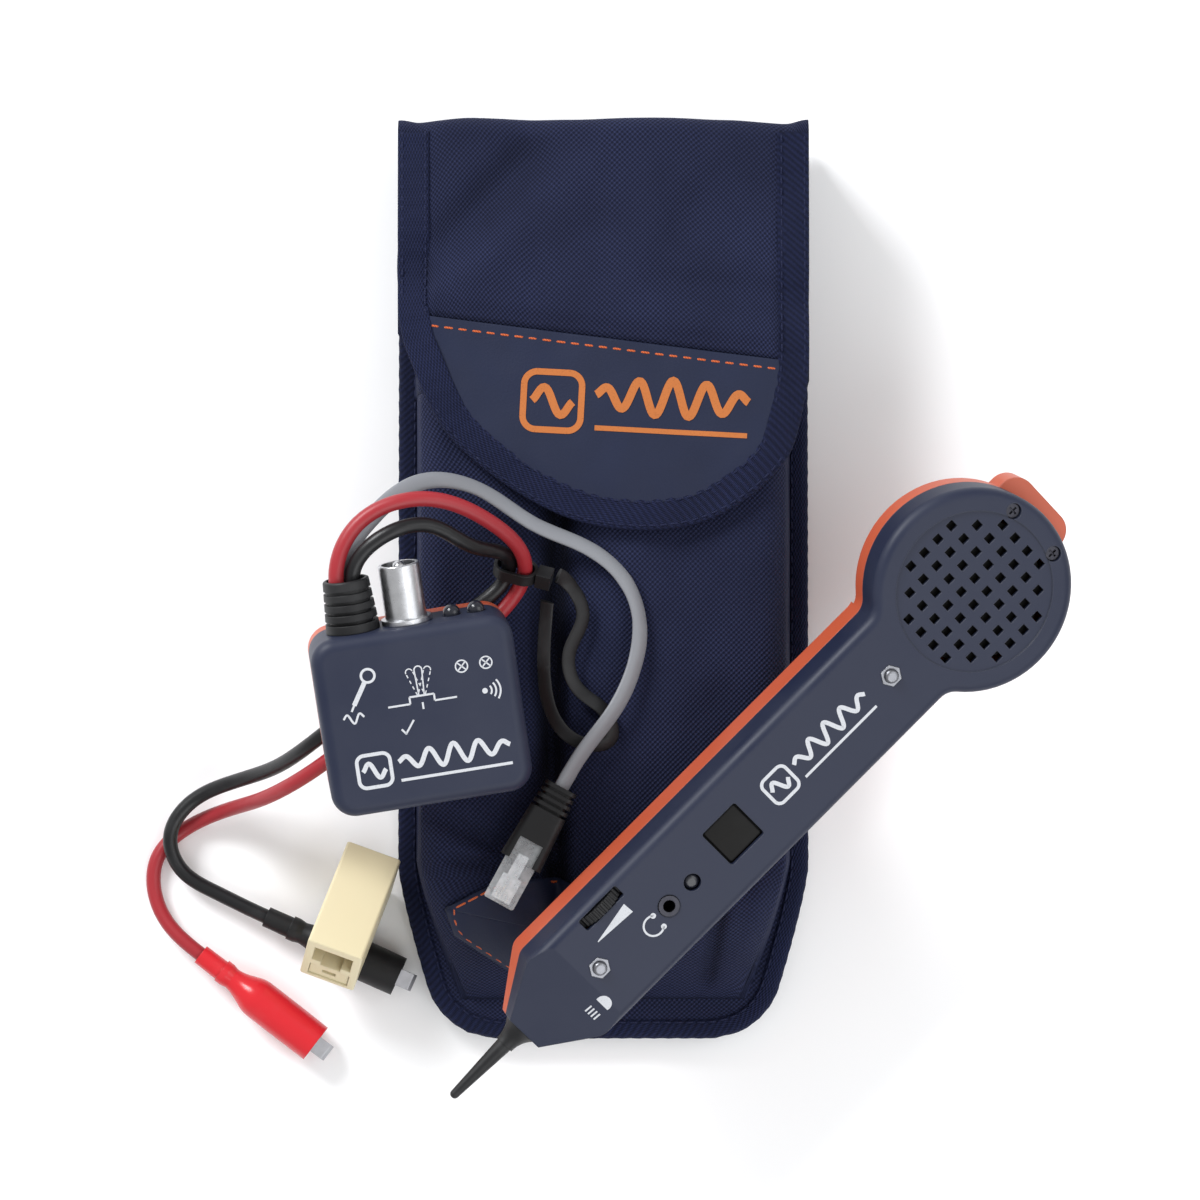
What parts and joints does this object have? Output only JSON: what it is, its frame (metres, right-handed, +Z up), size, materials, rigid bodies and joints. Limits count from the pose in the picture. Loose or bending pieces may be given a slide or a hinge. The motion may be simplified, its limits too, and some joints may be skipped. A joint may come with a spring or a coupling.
{
  "type": "tone probe kit",
  "caption": "Cable-tracing kit: hand probe with speaker head, tone generator with test leads and phone cord, modular coupler, and a fabric belt pouch.",
  "frame": {"origin": "on the table under the pouch's centre, on the underside of the belt loop", "axes": "+Z up off the table, +Y towards the pouch's top edge, +X to the side the probe's head lies on"},
  "size_m": [0.2739, 0.2871, 0.0834],
  "materials": {
    "woven_nylon": "plain weave, satin",
    "smooth_vinyl": "fine grain, semi-matt",
    "webbing": "ribbed tape",
    "hook_loop": "matt",
    "slate_shell": "fine texture",
    "orange_shell": "fine texture",
    "black_rubber": "satin",
    "dark_lens": "polished",
    "clear_plastic": "polished",
    "steel": "plated",
    "chrome": "polished",
    "gold": "plated",
    "board": "solder mask",
    "battery": "satin",
    "red_wire": "satin",
    "red_rubber": "gloss",
    "black_wire": "satin",
    "grey_cord": "satin",
    "ivory": "satin"
  },
  "bodies": {
    "pouch": {"pouch_back_panel": "woven_nylon", "pouch_back_binding": "webbing", "belt_loop": "webbing", "pouch_front_pockets": "woven_nylon", "pocket_divider": "woven_nylon", "pocket_corner_patch": "smooth_vinyl", "closure_loop_pad": "hook_loop"},
    "flap": {"flap_panel": "woven_nylon", "flap_binding": "webbing", "flap_patch": "smooth_vinyl", "closure_hook_pad": "hook_loop"},
    "probe": {"probe_front_shell": "slate_shell", "probe_rear_shell": "orange_shell", "probe_battery_cover": "orange_shell", "probe_tip": "black_rubber", "probe_tip_collar": "black_rubber", "probe_button_switch": "black_rubber", "volume_potentiometer": "steel", "headphone_jack": "steel", "status_lamp": "dark_lens", "work_light": "clear_plastic", "test_terminals": "chrome", "terminal_nuts": "steel", "probe_case_screws": "steel", "probe_speaker": "steel", "probe_circuit_board": "board", "probe_battery": "battery", "probe_battery_snap": "black_rubber"},
    "button": {"probe_button": "slate_shell"},
    "wheel": {"volume_wheel": "black_rubber"},
    "generator": {"generator_front_shell": "slate_shell", "generator_rear_shell": "orange_shell", "strain_relief": "black_rubber", "toggle_guard": "chrome", "toggle_switch_body": "steel", "voltage_lamps": "dark_lens", "generator_battery": "battery", "generator_circuit_board": "board", "generator_case_screws": "steel", "red_lead": "red_wire", "black_lead": "black_wire", "phone_cord": "grey_cord", "cable_tie": "black_rubber", "keeper_strap": "black_rubber", "red_clip_boot": "red_rubber", "black_clip_boot": "black_rubber", "red_fixed_jaw": "steel", "black_fixed_jaw": "steel", "clip_pins": "steel", "clip_springs": "steel", "plug_boot": "black_rubber", "plug_body": "clear_plastic", "plug_contacts": "gold"},
    "toggle": {"toggle_lever": "chrome"},
    "red_jaw": {"red_moving_jaw": "steel"},
    "black_jaw": {"black_moving_jaw": "steel"},
    "latch": {"plug_latch": "clear_plastic"},
    "coupler": {"coupler_housing": "ivory", "coupler_inserts": "ivory", "coupler_contacts": "gold"}
  },
  "joints": [
    {"name": "flap_hinge", "type": "hinge", "parent": "pouch", "child": "flap", "pos_m": [0, 0.13525, 0.008], "axis": [-1, 0, 0], "range_deg": [0, 95]},
    {"name": "probe_lift_off", "type": "slide", "parent": "pouch", "child": "probe", "axis": [0, 0, 1], "range_m": [0, 0.1]},
    {"name": "button_press", "type": "slide", "parent": "probe", "child": "button", "axis": [-0.2185, 0.2185, -0.9511], "range_m": [0, 0.001], "stiffness_N_per_m": 800},
    {"name": "volume_turn", "type": "hinge", "parent": "probe", "child": "wheel", "pos_m": [-0.00228, -0.09344, 0.06523], "axis": [-0.6725, 0.6725, 0.309], "range_deg": [-135, 135]},
    {"name": "generator_lift_off", "type": "slide", "parent": "pouch", "child": "generator", "axis": [0, 0, 1], "range_m": [0, 0.1]},
    {"name": "toggle_throw", "type": "hinge", "parent": "generator", "child": "toggle", "pos_m": [-0.05701, -0.00758, 0.07218], "axis": [0.1151, -0.193, 0.9744], "range_deg": [-12, 12]},
    {"name": "red_clip_open", "type": "hinge", "parent": "generator", "child": "red_jaw", "pos_m": [-0.10044, -0.12931, 0.0062], "axis": [-0.6115, -0.7912, 0], "range_deg": [0, 5], "stiffness_Nm_per_rad": 0.05},
    {"name": "black_clip_open", "type": "hinge", "parent": "generator", "child": "black_jaw", "pos_m": [-0.07739, -0.11251, 0.0062], "axis": [-0.4115, -0.9114, 0], "range_deg": [0, 5], "stiffness_Nm_per_rad": 0.05},
    {"name": "latch_press", "type": "hinge", "parent": "generator", "child": "latch", "pos_m": [-0.02992, -0.09357, 0.0504], "axis": [-0.8771, 0.4802, 0], "range_deg": [0, 8], "stiffness_Nm_per_rad": 0.02},
    {"name": "coupler_lift_off", "type": "slide", "parent": "generator", "child": "coupler", "axis": [0, 0, 1], "range_m": [0, 0.05]}
  ]
}
